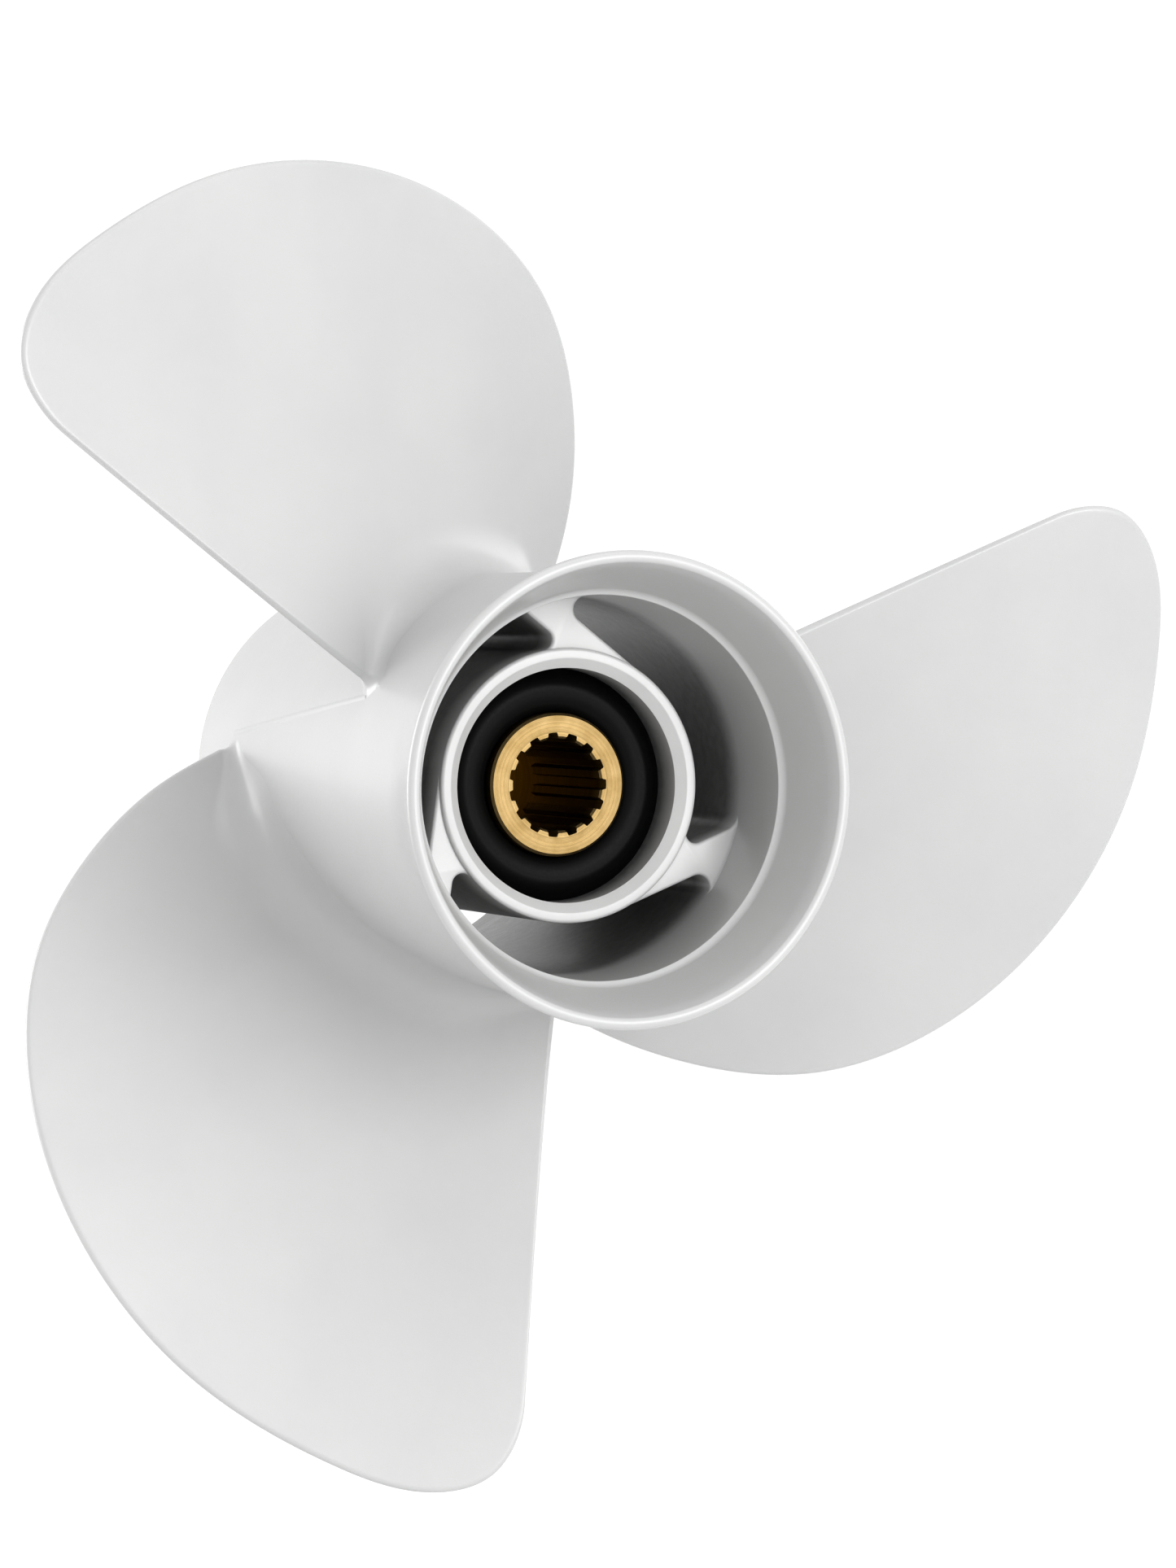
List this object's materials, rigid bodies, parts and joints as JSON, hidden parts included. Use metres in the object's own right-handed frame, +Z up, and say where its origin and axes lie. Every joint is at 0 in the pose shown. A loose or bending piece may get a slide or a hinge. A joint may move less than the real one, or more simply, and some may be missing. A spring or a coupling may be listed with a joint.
{
  "type": "boat propeller",
  "caption": "Three-blade right-hand outboard propeller with exhaust through its hub, a rubber cushion bush and a splined metal sleeve.",
  "frame": {"origin": "on the shaft axis, at the forward (thrust) end of the splined sleeve", "axes": "+Y along the shaft, forward, towards the boat, so the flared ring faces -Y; +Z up"},
  "size_m": [0.2952, 0.1641, 0.3116],
  "materials": {
    "casting": "satin",
    "bush": "matte",
    "sleeve": "satin"
  },
  "bodies": {
    "sleeve": {"spline_sleeve": "sleeve"},
    "bush": {"rubber_bush": "bush"},
    "casting": {"barrel": "casting", "inner_hub": "casting", "rib_1": "casting", "rib_2": "casting", "rib_3": "casting", "blade_1": "casting", "blade_2": "casting", "blade_3": "casting"}
  },
  "joints": [
    {"name": "cushion_twist", "type": "hinge", "parent": "sleeve", "child": "bush", "pos_m": [0, -0.05, 0], "axis": [0, 1, 0], "range_deg": [-8, 8], "stiffness_Nm_per_rad": 120},
    {"name": "overload_slip", "type": "hinge", "parent": "bush", "child": "casting", "pos_m": [0, -0.05, 0], "axis": [0, 1, 0], "continuous": true}
  ]
}
